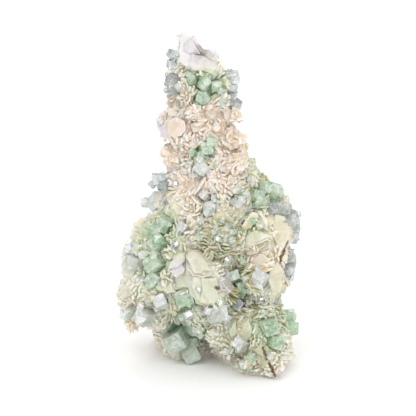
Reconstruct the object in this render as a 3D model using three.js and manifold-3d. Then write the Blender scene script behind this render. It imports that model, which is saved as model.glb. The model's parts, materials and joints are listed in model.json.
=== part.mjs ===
// A cabinet mineral specimen, 176 mm tall: a spire of cream stilbite blades, broken off flat at
// its foot, with clear to pale green apophyllite crystals seated on it.
// Millimetres, +Z up, the front of the specimen faces -Y, origin on the broken face it stands on.
import * as THREE from "three";
import { ConvexGeometry } from "three/addons/geometries/ConvexGeometry.js";
import { mergeVertices } from "three/addons/utils/BufferGeometryUtils.js";
import Module from "manifold-3d";

const wasm = await Module();
wasm.setup();

// Driving dimensions, in millimetres and degrees
const SEAT_GAP = 0.3; // clearance round each apophyllite crystal in its pocket
const VIEW_RISE = 17; // the front anchors below are given as seen from this angle above the horizon
const FRONT_FOOT = -38; // y of the front edge of the foot, where "up" is measured from
const SKIN = { top: 158, levels: 18, bearings: 24, pit: 0.8, peak: 3.6, unevenness: 2, seed: 3 };
const BLADE = { length: 12, width: 6.4, thickness: 2.6, sunk: 0.56, spacing: 19, lowest: 6 };
const BLADE_SEED = 6;
const BLADE_TRIES = 3000;
const CRYSTAL_SUNK = 0.5;
const FINEST = 0.1; // edges and slivers finer than this are smoothed away
const CORNER_CUT = 0.12; // the share of a crystal's side that is cut off its free corners, unless given

// The stilbite body is one skin over overlapping lumps: centre x, y, z, then radius along x, y, z.
const LUMPS = {
  spireTop: [-4, 2, 147, 15, 12, 15],
  spireNeck: [-3.5, 2, 124, 16, 14, 22],
  spireMiddle: [1, 1, 104, 20, 17, 20],
  waist: [4, 0, 88, 27, 20, 18],
  shoulder: [5, 1, 70, 34, 25, 19],
  rightShoulder: [29, -3, 76, 14, 16, 14],
  leftFlank: [-19, 0, 57, 24, 23, 18],
  belly: [-2, 4, 44, 39, 28, 21],
  leftHip: [-28, -2, 38, 17, 21, 16],
  rightSheafBed: [29, -6, 51, 12, 18, 20],
  leftUnderside: [-31, -4, 27, 13, 16, 9],
  leftFoot: [-13, 5, 8, 12, 16, 18],
  rightFoot: [25, -9, 10, 17, 28, 24],
  toe: [30, -21, 6, 10, 17, 14],
  backFoot: [4, 19, 10, 34, 18, 22],
  lowerFront: [4, -8, 31, 19, 18, 14],
};

// Large stilbite blades: root across and up or at a point, where the tip is aimed and where the
// broad face looks, then length, width and thickness, and how far the root sits out from the body.
// Directions are an azimuth and a rise: azimuth 0 is the front, 90 the right, -90 the left.
const SHEAVES = {
  cap: [
    { at: [1, 0, 157], aim: [-88, 50], face: [0, 10], size: [25, 10, 6] },
    { at: [4, -1, 154], aim: [-86, 36], face: [0, 20], size: [25, 10, 7] },
    { at: [-15, -5, 165], aim: [78, -26], face: [-10, 20], size: [20, 9, 6] },
    { at: [2, 3, 154], aim: [0, 74], face: [50, 0], size: [15, 8, 5] },
  ],
  leftFin: [
    { across: -18, up: 131, aim: [-88, 4], face: [-10, 10], size: [9, 16, 5], out: -2 },
    { across: -13, up: 129, aim: [-50, -4], face: [-14, 10], size: [10, 14, 6], out: -3 },
    { across: -15, up: 116, aim: [-80, 14], face: [-10, 60], size: [10, 9, 4], out: -2 },
  ],
  spire: [
    { across: 4, up: 140, aim: [40, 50], face: [0, -20], size: [13, 8, 5], out: -2 },
    { across: 6, up: 135, aim: [74, 14], face: [0, 50], size: [14, 7, 3], out: -2 },
    { across: 7, up: 126, aim: [70, -4], face: [0, 50], size: [14, 8, 3], out: -2 },
    { across: -4, up: 137, aim: [-20, 30], face: [60, -20], size: [11, 8, 4], out: -3 },
    { across: 10, up: 112, aim: [50, 10], face: [-20, 50], size: [13, 8, 3], out: -3 },
  ],
  centre: [
    { across: -5, up: 66, aim: [60, -66], face: [-6, 22], size: [31, 17, 8], out: 2 },
    { across: 3, up: 60, aim: [50, -66], face: [50, 10], size: [25, 9, 6], out: 2 },
    { across: 2, up: 61, aim: [-80, 12], face: [-10, 52], size: [17, 14, 6], out: 2 },
    { across: 5, up: 58, aim: [66, -48], face: [36, 4], size: [17, 11, 5], out: 0 },
    { across: -9, up: 60, aim: [-78, -12], face: [-20, 34], size: [14, 8, 5], out: 1 },
    { across: -9, up: 64, aim: [-78, 14], face: [-16, 16], size: [14, 9, 5], out: 0 },
    { across: -8, up: 57, aim: [-58, -56], face: [-34, 4], size: [18, 12, 6], out: 0 },
    { across: -13, up: 52, aim: [-80, -30], face: [-30, 12], size: [13, 8, 5], out: 0 },
  ],
  right: [
    { across: 38, up: 85, aim: [-20, -72], face: [16, 16], size: [33, 14, 9], out: -4 },
    { across: 30, up: 77, aim: [-62, 44], face: [-20, -10], size: [13, 6, 3], out: 0 },
    { across: 32, up: 79, aim: [-74, -24], face: [-20, 34], size: [20, 12, 5], out: 0 },
    { across: 32, up: 70, aim: [-76, -18], face: [-10, 14], size: [20, 9, 4], out: 0 },
    { across: 32, up: 66, aim: [-58, -44], face: [-24, 12], size: [20, 11, 5], out: 0 },
    { across: 30, up: 62, aim: [-40, -56], face: [-40, 8], size: [19, 9, 4], out: 0 },
    { across: 39, up: 65, aim: [-60, -74], face: [24, 8], size: [26, 10, 6], out: -2 },
  ],
  lowerRight: [
    { across: 31, up: 36, aim: [-84, 4], face: [0, 56], size: [17, 9, 4], out: 0 },
    { across: 15, up: 32, aim: [-50, -76], face: [-36, 4], size: [21, 9, 6], out: 0 },
    { across: 18, up: 35, aim: [-20, -66], face: [-60, 6], size: [15, 6, 3], out: 1 },
    { across: 26, up: 35, aim: [-10, -66], face: [30, 10], size: [18, 9, 4], out: 0 },
    { across: 8, up: 25, aim: [-30, -40], face: [10, 20], size: [12, 9, 6], out: -2 },
    { across: 34, up: 15, aim: [14, -60], face: [40, 10], size: [13, 9, 5], out: -2 },
  ],
};

// Apophyllite crystals, one entry for each cluster. Each crystal stands where the body is seen at
// across and up from the front, or where a line at a bearing meets it at a height z.
const CLUSTERS = {
  crown_left_upper: [
    { across: -17, up: 168, aim: [-60, 25], spin: 20, size: [4, 4, 8], cut: 0 },
    { across: -17, up: 163.5, aim: [-72, 5], spin: 10, size: [4.4, 4.2, 8], cut: 0 },
  ],
  crown_left: [
    { across: -17, up: 154, aim: [-66, 10], spin: 12, size: [6.4, 6, 9] },
    { across: -17, up: 150, aim: [-80, -8], spin: 40, size: [5, 5, 10], cut: 0 },
  ],
  crown_green_columns: [
    { across: -8.4, up: 155.4, aim: [-12, 46], spin: 8, size: [4.4, 4.4, 7] },
    { across: -6.8, up: 157.6, aim: [-4, 58], spin: 20, size: [3.2, 3.2, 6.6], cut: 0 },
  ],
  crown_front: [
    { across: -2, up: 152, aim: [-8, 24], spin: 45, size: [5.6, 5.6, 9], cut: 0.5 },
    { across: -2.5, up: 147, aim: [4, -10], spin: 38, size: [6, 5.6, 9], cut: 0.2 },
    { across: -4, up: 144, aim: [-14, -40], spin: 45, size: [5, 5, 8], cut: 0.5 },
    { across: 3.6, up: 152, aim: [14, 8], spin: 15, size: [5.4, 5.4, 8] },
  ],
  crown_right: [
    { at: [10, 0, 151.6], aim: [82, 10], spin: 12, size: [5.4, 5.2, 12] },
    { at: [9.5, 0, 146.6], aim: [76, -4], spin: 34, size: [4.8, 4.8, 11], cut: 0 },
    { at: [10, -1, 143], aim: [80, -10], spin: 20, size: [4.4, 4.6, 10] },
  ],
  crown_right_tilted: [
    { across: 11, up: 143.6, aim: [66, -28], spin: 8, size: [6.8, 6.4, 12], cut: 0.1 },
  ],
  spire_left_spray: [
    { across: -18, up: 120, aim: [-60, 6], spin: 30, size: [4.4, 4.4, 9], cut: 0.26 },
  ],
  spire_pair: [
    { across: -1.5, up: 119, aim: [14, 26], spin: 14, size: [6.2, 6.4, 10], cut: 0.1 },
    { across: -6.6, up: 117.5, aim: [-26, 20], spin: 30, size: [3.4, 3.4, 9], cut: 0 },
  ],
  spire_striated: [
    { across: -2.6, up: 108.8, aim: [-20, 30], spin: 42, size: [6.6, 6, 10], cut: 0 },
  ],
  left_prism: [
    { across: -21, up: 103.4, aim: [-86, 4], spin: 12, size: [6, 5.6, 17], cut: 0.1 },
    { across: -20.4, up: 101, aim: [-60, -14], spin: 36, size: [5, 5, 10], cut: 0 },
  ],
  small_cube_upper: [{ across: -1.8, up: 95, aim: [-24, 34], spin: 30, size: [3.6, 3.6, 7], cut: 0 }],
  bright_cube: [{ across: 0.4, up: 87.8, aim: [10, 52], spin: 24, size: [5, 4.6, 9], cut: 0.08 }],
  bright_wedge: [{ across: 15.6, up: 93, aim: [30, 20], spin: 16, size: [3.8, 3.8, 8], cut: 0 }],
  right_green_upper: [
    { across: 28, up: 98.5, aim: [52, 24], spin: 36, size: [6.4, 6, 11] },
    { across: 25, up: 95.5, aim: [22, 10], spin: 8, size: [6, 6, 10], cut: 0.16 },
    { across: 33, up: 95.6, aim: [56, 48], spin: 20, size: [7.4, 7, 12], cut: 0.1 },
  ],
  right_edge_upper: [
    { across: 37, up: 88, aim: [74, 10], spin: 40, size: [6, 6, 12], cut: 0 },
    { across: 40.5, up: 82, aim: [82, 16], spin: 24, size: [8, 7.4, 13], cut: 0.16 },
    { across: 41, up: 76, aim: [84, -14], spin: 10, size: [7, 7, 13], cut: 0.14 },
  ],
  right_green_nest: [{ across: 23.4, up: 82.4, aim: [-16, 30], spin: 34, size: [6, 5.6, 9], cut: 0 }],
  left_ledge_block: [{ across: -24.6, up: 91, aim: [-48, 24], spin: 18, size: [9, 8.4, 12], cut: 0.12 }],
  left_bright_cube: [{ across: -12.4, up: 79, aim: [-22, 22], spin: 40, size: [4.4, 4.4, 8], cut: 0 }],
  left_slope: [
    { across: -21.6, up: 81, aim: [-26, 2], spin: 40, size: [7, 7, 11], cut: 0.16 },
    { across: -25.4, up: 76.6, aim: [-40, -4], spin: 30, size: [7.4, 6.8, 11], cut: 0.14 },
    { across: -25, up: 70.5, aim: [-34, 16], spin: 14, size: [7, 6.6, 11], cut: 0 },
  ],
  left_rim: [
    { across: -38, up: 67, aim: [-82, 26], spin: 30, size: [6.4, 6, 11], cut: 0.16 },
    { across: -37, up: 61, aim: [-60, 10], spin: 12, size: [6, 6, 11], cut: 0 },
  ],
  left_face: [
    { across: -27.5, up: 60, aim: [-26, 20], spin: 16, size: [8, 7, 11], cut: 0.14 },
    { across: -28, up: 53, aim: [-14, 4], spin: 40, size: [7, 6.4, 11], cut: 0 },
  ],
  front_lavender: [{ across: -24.6, up: 40, aim: [-10, 28], spin: 18, size: [6.6, 6, 10], cut: 0.14 }],
  front_green_cube: [{ across: -12, up: 42, aim: [-6, 18], spin: 12, size: [9, 8.6, 11], cut: 0.12 }],
  front_green_nest: [
    { across: -12.6, up: 32, aim: [-14, 36], spin: 30, size: [6, 6, 11], cut: 0.1 },
    { across: -7.4, up: 27, aim: [22, 6], spin: 34, size: [7, 6.8, 13], cut: 0.2 },
    { across: -20, up: 29, aim: [-34, 10], spin: 22, size: [9, 8.6, 13], cut: 0.12 },
    { across: -15.5, up: 20.5, aim: [-16, -4], spin: 16, size: [10.4, 9.4, 16], cut: 0.16 },
    { across: -10, up: 15, aim: [14, -18], spin: 42, size: [8.6, 8, 14], cut: 0.16 },
  ],
  left_low_block: [
    { across: -33, up: 32.6, aim: [-28, 8], spin: 32, size: [7.4, 7, 12], cut: 0.1 },
    { across: -39, up: 35, aim: [-62, -10], spin: 12, size: [6.4, 6, 12], cut: 0.16 },
  ],
  centre_block: [
    { across: 3.6, up: 36, aim: [16, -2], spin: 26, size: [10, 8.4, 14], cut: 0.1 },
  ],
  hollow_nest: [
    { across: 14, up: 53, aim: [-6, 30], spin: 16, size: [5.4, 5, 9], cut: 0 },
    { across: 17, up: 49, aim: [16, 4], spin: 40, size: [5.6, 5.4, 9], cut: 0.26 },
  ],
  hollow_glassy: [{ across: 15, up: 38.6, aim: [4, 24], spin: 45, size: [5.6, 5.4, 9], cut: 0.26 }],
  sheaf_rider: [{ across: 27.4, up: 53, aim: [-18, 14], spin: 40, size: [8.4, 7.4, 10], cut: 0.2 }],
  right_edge_middle: [
    { across: 40.5, up: 62, aim: [78, 10], spin: 34, size: [6.4, 6, 10], cut: 0.16 },
    { across: 40.5, up: 56.6, aim: [86, -6], spin: 12, size: [6.4, 6, 10], cut: 0 },
  ],
  lower_right_cube: [{ across: 17.6, up: 18, aim: [-24, 24], spin: 34, size: [6, 5.8, 11], cut: 0 }],
  lower_right_green: [
    { across: 31, up: 27, aim: [20, 8], spin: 30, size: [7.6, 7, 12], cut: 0.14 },
    { across: 34, up: 20, aim: [34, -6], spin: 12, size: [6.4, 6, 11], cut: 0 },
  ],
  right_edge_lower: [
    { across: 40, up: 31.5, aim: [76, 20], spin: 45, size: [6.6, 6.2, 12], cut: 0.5 },
    { across: 41, up: 26, aim: [84, 0], spin: 45, size: [6.4, 6.4, 13], cut: 0.5 },
  ],
  right_back_nest: [
    { bearing: 125, z: 96, aim: [125, 20], spin: 20, size: [8, 7, 12], cut: 0 },
    { bearing: 132, z: 90, aim: [140, 0], spin: 40, size: [7, 7, 12], cut: 0.16 },
  ],
  back_crown: [
    { bearing: 180, z: 150, aim: [180, 30], spin: 24, size: [7, 6.4, 11] },
    { bearing: 168, z: 144, aim: [160, 10], spin: 40, size: [6, 6, 11], cut: 0 },
  ],
  back_spire_cube: [{ bearing: 190, z: 118, aim: [190, 20], spin: 30, size: [7.4, 7, 12], cut: 0.1 }],
  back_shoulder_nest: [
    { bearing: 205, z: 82, aim: [205, 24], spin: 18, size: [9, 8, 13] },
    { bearing: 214, z: 75, aim: [225, 4], spin: 40, size: [8, 7.4, 13], cut: 0 },
  ],
  back_right_blocks: [
    { bearing: 150, z: 52, aim: [150, 20], spin: 20, size: [10, 9, 14], cut: 0.1 },
    { bearing: 141, z: 44, aim: [132, 0], spin: 40, size: [8, 8, 13], cut: 0 },
  ],
  back_left_blocks: [
    { bearing: 226, z: 40, aim: [226, 18], spin: 14, size: [9, 8, 13], cut: 0.12 },
    { bearing: 236, z: 33, aim: [245, 0], spin: 40, size: [7, 7, 12], cut: 0 },
  ],
  back_low_nest: [
    { bearing: 178, z: 30, aim: [178, 16], spin: 24, size: [9, 8, 13], cut: 0.12 },
    { bearing: 187, z: 24, aim: [195, -6], spin: 44, size: [7, 7, 12], cut: 0 },
  ],
};

const COLOURS = {
  stilbite: { color: 0xe9e0d0, roughness: 0.45, metalness: 0 },
  clear: { color: 0xdde6e3, roughness: 0.08, metalness: 0 },
  pale: { color: 0xcfe0cd, roughness: 0.08, metalness: 0 },
  green: { color: 0xa3cda4, roughness: 0.08, metalness: 0 },
};

// The clusters that are colourless and those that are green. All the others are pale green.
const CLEAR_CLUSTERS = [
  "crown_left", "crown_left_upper", "crown_right", "crown_right_tilted", "left_prism",
  "spire_left_spray", "right_edge_upper", "right_edge_middle", "hollow_glassy", "back_crown",
];
const GREEN_CLUSTERS = [
  "crown_green_columns", "crown_front", "spire_pair", "right_green_upper", "right_green_nest",
  "front_green_cube", "front_green_nest", "left_slope", "left_face", "hollow_nest",
  "lower_right_green", "right_edge_lower", "right_back_nest", "back_shoulder_nest", "back_low_nest",
];

const DEG = Math.PI / 180;

// A unit vector at an azimuth round the specimen and a rise above the horizon.
function heading([azimuth, rise]) {
  const flat = Math.cos(rise * DEG);
  return new THREE.Vector3(
    Math.sin(azimuth * DEG) * flat,
    -Math.cos(azimuth * DEG) * flat,
    Math.sin(rise * DEG),
  );
}

// A repeatable stream of numbers from 0 to 1.
function seeded(seed) {
  let state = seed >>> 0;
  return () => {
    state = (state + 0x6d2b79f5) >>> 0;
    let mixed = Math.imul(state ^ (state >>> 15), 1 | state);
    mixed = (mixed + Math.imul(mixed ^ (mixed >>> 7), 61 | mixed)) ^ mixed;
    return ((mixed ^ (mixed >>> 14)) >>> 0) / 4294967296;
  };
}

// The first point of the lumps that a line meets, or the point where it passes closest to one,
// with the outward direction there.
function firstHit(origin, direction) {
  let best = { miss: Infinity, along: Infinity };
  for (const [cx, cy, cz, rx, ry, rz] of Object.values(LUMPS)) {
    const radii = new THREE.Vector3(rx, ry, rz);
    const centre = new THREE.Vector3(cx, cy, cz);
    const start = origin.clone().sub(centre).divide(radii);
    const step = direction.clone().divide(radii);
    const middle = -start.dot(step) / step.lengthSq();
    const closest = start.clone().addScaledVector(step, middle).lengthSq();
    const miss = Math.max(0, closest - 1);
    const along = middle - Math.sqrt(Math.max(0, 1 - closest) / step.lengthSq());
    if (miss > best.miss || (miss === best.miss && along >= best.along)) continue;
    const point = origin.clone().addScaledVector(direction, along);
    const outward = point.clone().sub(centre).divide(radii).divide(radii).normalize();
    best = { miss, along, point, outward };
  }
  return best;
}

// Where the body is seen at across and up from the front.
function seenFromFront(across, up) {
  const rise = VIEW_RISE * DEG;
  const sight = new THREE.Vector3(0, Math.cos(rise), -Math.sin(rise));
  const eye = new THREE.Vector3(across, FRONT_FOOT, up / Math.cos(rise));
  return firstHit(eye.addScaledVector(sight, -300), sight);
}

// Where a level line in from a bearing meets the body at height z.
function seenFromBearing(bearing, z) {
  const outward = heading([bearing, 0]);
  const eye = new THREE.Vector3(0, 0, z).addScaledVector(outward, 300);
  return firstHit(eye, outward.negate());
}

function anchorOf(item) {
  if (item.at) return { point: new THREE.Vector3(...item.at), outward: new THREE.Vector3(0, 0, 1) };
  if (item.bearing === undefined) return seenFromFront(item.across, item.up);
  return seenFromBearing(item.bearing, item.z);
}

// The matrix that stands a shape, drawn along +Z from the origin, on a point with its axis aimed.
function standing(point, axis, spin) {
  const turn = new THREE.Quaternion().setFromUnitVectors(new THREE.Vector3(0, 0, 1), axis);
  turn.multiply(new THREE.Quaternion().setFromAxisAngle(new THREE.Vector3(0, 0, 1), spin * DEG));
  return new THREE.Matrix4().compose(point, turn, new THREE.Vector3(1, 1, 1));
}

function solidOf(geometry) {
  const bare = new THREE.BufferGeometry();
  const loose = geometry.index ? geometry.toNonIndexed() : geometry;
  bare.setAttribute("position", loose.getAttribute("position"));
  const merged = mergeVertices(bare, 1e-4);
  return new wasm.Manifold(
    new wasm.Mesh({
      numProp: 3,
      vertProperties: merged.attributes.position.array,
      triVerts: new Uint32Array(merged.index.array),
    }),
  );
}

function geometryOf(solid) {
  const mesh = solid.getMesh();
  const geometry = new THREE.BufferGeometry();
  geometry.setAttribute("position", new THREE.BufferAttribute(mesh.vertProperties, 3));
  geometry.setIndex(new THREE.BufferAttribute(mesh.triVerts, 1));
  geometry.computeVertexNormals();
  return geometry;
}

function joined(solids) {
  return solids.reduce((whole, next) => whole.add(next));
}

function largestOf(solid) {
  const bodies = solid.decompose();
  return bodies.reduce((best, next) => (next.volume() > best.volume() ? next : best));
}

// The body's skin: rings of points where level lines in from every bearing meet the lumps.
function bodySolid() {
  const random = seeded(SKIN.seed);
  const across = SKIN.bearings;
  const points = [];
  for (let level = 0; level <= SKIN.levels; level++) {
    const z = (SKIN.top * level) / SKIN.levels;
    for (let i = 0; i < across; i++) {
      const bearing = ((i + (level % 2) / 2) * 360) / across;
      const { point, outward } = seenFromBearing(bearing, z);
      const isPeak = (i + across * level - (level >> 1) - level) % 3 === 0;
      const raised = isPeak ? SKIN.peak * (0.5 + random() / 2) : -SKIN.pit * random();
      point.addScaledVector(outward, raised);
      const flatEnd = level === 0 || level === SKIN.levels;
      point.z = flatEnd ? z : point.z + SKIN.unevenness * (random() * 2 - 1);
      points.push(...point.toArray());
    }
  }
  const ends = [0, SKIN.levels].map((level) => level * across);
  const faces = [];
  for (let level = 0; level < SKIN.levels; level++) {
    const lower = level * across;
    const upper = lower + across;
    const shift = level % 2;
    for (let i = 0; i < across; i++) {
      const next = (i + 1) % across;
      const [near, far] = shift ? [next, i] : [i, next];
      faces.push(lower + i, lower + next, upper + near);
      if (shift) faces.push(upper + far, lower + i, upper + near);
      else faces.push(lower + far, upper + far, upper + near);
    }
  }
  ends.forEach((first, top) => {
    for (let i = 1; i < across - 1; i++) {
      faces.push(first, first + i + (top ? 0 : 1), first + i + (top ? 1 : 0));
    }
  });
  const skin = new THREE.BufferGeometry();
  skin.setAttribute("position", new THREE.Float32BufferAttribute(points, 3));
  skin.setIndex(faces);
  return solidOf(skin);
}

// A small stilbite blade: a flat plate that widens from its root and ends in a point.
function bladeGeometry(length, width, thickness) {
  const outline = new THREE.Shape([
    new THREE.Vector2(-0.34 * width, 0),
    new THREE.Vector2(0.34 * width, 0),
    new THREE.Vector2(0.5 * width, 0.66 * length),
    new THREE.Vector2(0, length),
    new THREE.Vector2(-0.5 * width, 0.66 * length),
  ]);
  return plateGeometry(outline, thickness);
}

// A large stilbite blade: the same plate with a blunter, many-sided end.
function broadBladeGeometry(length, width, thickness) {
  const outline = new THREE.Shape([
    new THREE.Vector2(-0.36 * width, 0),
    new THREE.Vector2(0.36 * width, 0),
    new THREE.Vector2(0.5 * width, 0.6 * length),
    new THREE.Vector2(0.24 * width, 0.94 * length),
    new THREE.Vector2(-0.2 * width, length),
    new THREE.Vector2(-0.5 * width, 0.66 * length),
  ]);
  return plateGeometry(outline, thickness);
}

// An outline drawn in x and y becomes a plate that stands along +Z, its thickness along y.
function plateGeometry(outline, thickness) {
  const plate = new THREE.ExtrudeGeometry(outline, { depth: thickness, bevelEnabled: false });
  plate.translate(0, 0, -thickness / 2);
  plate.rotateX(Math.PI / 2);
  return plate;
}

// An apophyllite crystal: a four-sided prism along +Z whose free corners are cut off. cut is the
// share of the side that each cut takes: 0 leaves the corners whole, and 0.5 makes the end a
// diamond. grow thickens the prism all round.
function crystalGeometry([width, depth, length], cut, grow) {
  const halfWidth = width / 2 + grow;
  const halfDepth = depth / 2 + grow;
  const bevel = cut * Math.min(width, depth);
  const points = [];
  for (const sx of [-1, 1]) {
    for (const sy of [-1, 1]) {
      points.push(new THREE.Vector3(sx * halfWidth, sy * halfDepth, -grow));
      const end = length + grow;
      points.push(new THREE.Vector3(sx * (halfWidth - bevel), sy * halfDepth, end));
      points.push(new THREE.Vector3(sx * halfWidth, sy * (halfDepth - bevel), end));
      points.push(new THREE.Vector3(sx * halfWidth, sy * halfDepth, end - bevel * 1.25));
    }
  }
  return new ConvexGeometry(points);
}

function crystalSolid(item, grow) {
  const { point } = anchorOf(item);
  const axis = heading(item.aim);
  const root = point.clone().addScaledVector(axis, -CRYSTAL_SUNK * item.size[2]);
  const geometry = crystalGeometry(item.size, item.cut ?? CORNER_CUT, grow);
  return solidOf(geometry.applyMatrix4(standing(root, axis, item.spin)));
}

// The pocket that a crystal is seated in: the crystal with whole corners, grown by the gap.
function pocketSolid(item) {
  return crystalSolid({ ...item, cut: 0 }, SEAT_GAP);
}

function broadBladeSolid(item) {
  const { point, outward } = anchorOf(item);
  const root = point.clone().addScaledVector(outward, item.out ?? 0);
  const axis = heading(item.aim);
  const width = new THREE.Vector3().crossVectors(heading(item.face), axis).normalize();
  const turn = new THREE.Matrix4().makeBasis(width, axis.clone().cross(width), axis);
  const geometry = broadBladeGeometry(...item.size).applyMatrix4(turn.setPosition(root));
  return solidOf(geometry);
}

// Small blades all round the body, spaced apart, each aimed roughly away from its lump.
function scatteredBlades() {
  const random = seeded(BLADE_SEED);
  const spread = (reach) => (random() * 2 - 1) * reach;
  const lumps = Object.values(LUMPS);
  const places = [];
  const solids = [];
  for (let i = 0; i < BLADE_TRIES; i++) {
    const [cx, cy, cz, rx, ry, rz] = lumps[Math.floor(random() * lumps.length)];
    const ball = new THREE.Vector3(spread(1), spread(1), spread(1)).normalize();
    const point = new THREE.Vector3(cx + ball.x * rx, cy + ball.y * ry, cz + ball.z * rz);
    const size = 0.75 + random() * 0.5;
    const lean = new THREE.Vector3(spread(0.55), spread(0.55), spread(0.55));
    const spin = random() * 180;
    if (point.z < BLADE.lowest || insideBody(point)) continue;
    if (places.some((p) => p.distanceTo(point) < BLADE.spacing)) continue;
    places.push(point);
    const outward = new THREE.Vector3(ball.x / rx, ball.y / ry, ball.z / rz).normalize();
    const axis = outward.add(lean).normalize();
    axis.z = Math.max(axis.z, -point.z / BLADE.length);
    axis.normalize();
    const length = BLADE.length * size;
    const root = point.clone().addScaledVector(axis, -BLADE.sunk * length);
    const blade = bladeGeometry(length, BLADE.width * size, BLADE.thickness * size);
    solids.push(solidOf(blade.applyMatrix4(standing(root, axis, spin))));
  }
  return solids;
}

function insideBody(point) {
  const inside = ([cx, cy, cz, rx, ry, rz]) =>
    ((point.x - cx) / rx) ** 2 + ((point.y - cy) / ry) ** 2 + ((point.z - cz) / rz) ** 2 < 0.98;
  return Object.values(LUMPS).some(inside);
}

// What reaches below the broken face is cut away.
function cutAtFoot(solid) {
  const below = new THREE.BoxGeometry(400, 400, 100);
  below.translate(0, 0, -50);
  return solid.subtract(solidOf(below));
}

function stilbiteMass() {
  const sheaves = Object.values(SHEAVES).flat().map(broadBladeSolid);
  const grown = cutAtFoot(joined([bodySolid(), ...sheaves, ...scatteredBlades()]));
  const pockets = Object.values(CLUSTERS).flat().map(pocketSolid);
  return largestOf(grown.subtract(joined(pockets)).simplify(FINEST));
}

function lookOf(cluster) {
  if (CLEAR_CLUSTERS.includes(cluster)) return COLOURS.clear;
  return GREEN_CLUSTERS.includes(cluster) ? COLOURS.green : COLOURS.pale;
}

function meshOf(name, solid, look) {
  const material = new THREE.MeshStandardMaterial({ ...look, flatShading: true });
  const mesh = new THREE.Mesh(geometryOf(solid), material);
  mesh.name = name;
  return mesh;
}

const specimen = new THREE.Group();
specimen.add(meshOf("stilbite_mass", stilbiteMass(), COLOURS.stilbite));
for (const [name, items] of Object.entries(CLUSTERS)) {
  const cluster = cutAtFoot(joined(items.map((item) => crystalSolid(item, 0))));
  specimen.add(meshOf("apophyllite_" + name, cluster, lookOf(name)));
}

export default specimen;
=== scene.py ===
# %% [markdown]
# # Apophyllite on stilbite
# This lesson builds the look of a cabinet mineral specimen: a spire of cream stilbite blades with
# clear and pale green apophyllite crystals on it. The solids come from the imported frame. The crust
# of small blades, the large blades and the smallest crystals are grown here, around those solids.

import json
import math
import random

import bmesh
import bpy
import numpy as np
from mathutils import Matrix, Vector
from mathutils.bvhtree import BVHTree

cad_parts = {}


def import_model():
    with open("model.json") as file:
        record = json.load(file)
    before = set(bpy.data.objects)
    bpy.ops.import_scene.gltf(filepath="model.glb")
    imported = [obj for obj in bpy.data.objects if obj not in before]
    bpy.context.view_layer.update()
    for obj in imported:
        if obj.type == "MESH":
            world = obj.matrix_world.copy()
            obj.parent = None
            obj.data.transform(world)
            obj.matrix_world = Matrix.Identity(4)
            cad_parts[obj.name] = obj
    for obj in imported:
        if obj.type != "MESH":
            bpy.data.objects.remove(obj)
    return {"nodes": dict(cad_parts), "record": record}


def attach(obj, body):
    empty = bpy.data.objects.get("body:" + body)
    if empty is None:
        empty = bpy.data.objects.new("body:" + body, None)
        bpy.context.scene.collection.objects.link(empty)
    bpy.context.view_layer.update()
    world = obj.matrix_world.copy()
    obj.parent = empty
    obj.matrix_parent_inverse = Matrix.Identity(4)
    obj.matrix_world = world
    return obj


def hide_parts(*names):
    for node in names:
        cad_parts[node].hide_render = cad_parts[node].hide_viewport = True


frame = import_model()
nodes = frame["nodes"]
SLOTS = {s["node"]: s["material_slot"] for s in frame["record"]["subparts"]}
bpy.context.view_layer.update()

# %% [markdown]
# ## Units and colours
# Lengths are written in millimetres and multiplied by MM. Colours are written as they look on a
# screen, such as #F2EADB, and turned into linear light by one function.

# %% Units, colours and directions
MM = 0.001
SEED = 11
VIEW_RISE = 17.0  # the photo looks down at the specimen by this many degrees
FRONT_FOOT = -38.0  # y of the front edge of the foot, where "up" is measured from


def linear(screen):
    """A colour such as #F2EADB as linear light, with an alpha of 1."""
    parts = [int(screen[i : i + 2], 16) / 255 for i in (1, 3, 5)]
    return [p / 12.92 if p <= 0.04045 else ((p + 0.055) / 1.055) ** 2.4 for p in parts] + [1.0]


def heading(azimuth, rise):
    """A unit vector: azimuth 0 is towards the viewer, 90 to the right, and rise is above level."""
    a, r = math.radians(azimuth), math.radians(rise)
    return Vector((math.sin(a) * math.cos(r), -math.cos(a) * math.cos(r), math.sin(r)))


print("view from azimuth 0:", [round(v, 3) for v in heading(0, VIEW_RISE)])

# %% [markdown]
# ## One function for every node
# Shader trees and geometry trees are both built with it: it makes a node, sets its properties, and
# fills each input with a value, with a colour, or with what another node gives.


# %% Add a node
def add(tree, kind, inputs=None, **settings):
    """A new node. A node as an input stands for the first of its outputs that is in use."""
    made = tree.nodes.new(kind)
    for key, value in settings.items():
        setattr(made, key, value)
    for key, value in (inputs or {}).items():
        if isinstance(value, bpy.types.Node):
            value = next(output for output in value.outputs if output.enabled)
        if isinstance(value, bpy.types.NodeSocket):
            tree.links.new(value, made.inputs[key])
        elif isinstance(value, str) and value.startswith("#"):
            made.inputs[key].default_value = linear(value)
        else:
            made.inputs[key].default_value = value
    return made


def new_material(name):
    material = bpy.data.materials.new(name)
    material.use_nodes = True
    material.node_tree.nodes.clear()
    return material, material.node_tree


def in_scene(name, data):
    """A new object at the origin of the scene that holds a mesh, a lamp or a camera."""
    made = bpy.data.objects.new(name, data)
    bpy.context.scene.collection.objects.link(made)
    return made
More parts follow.
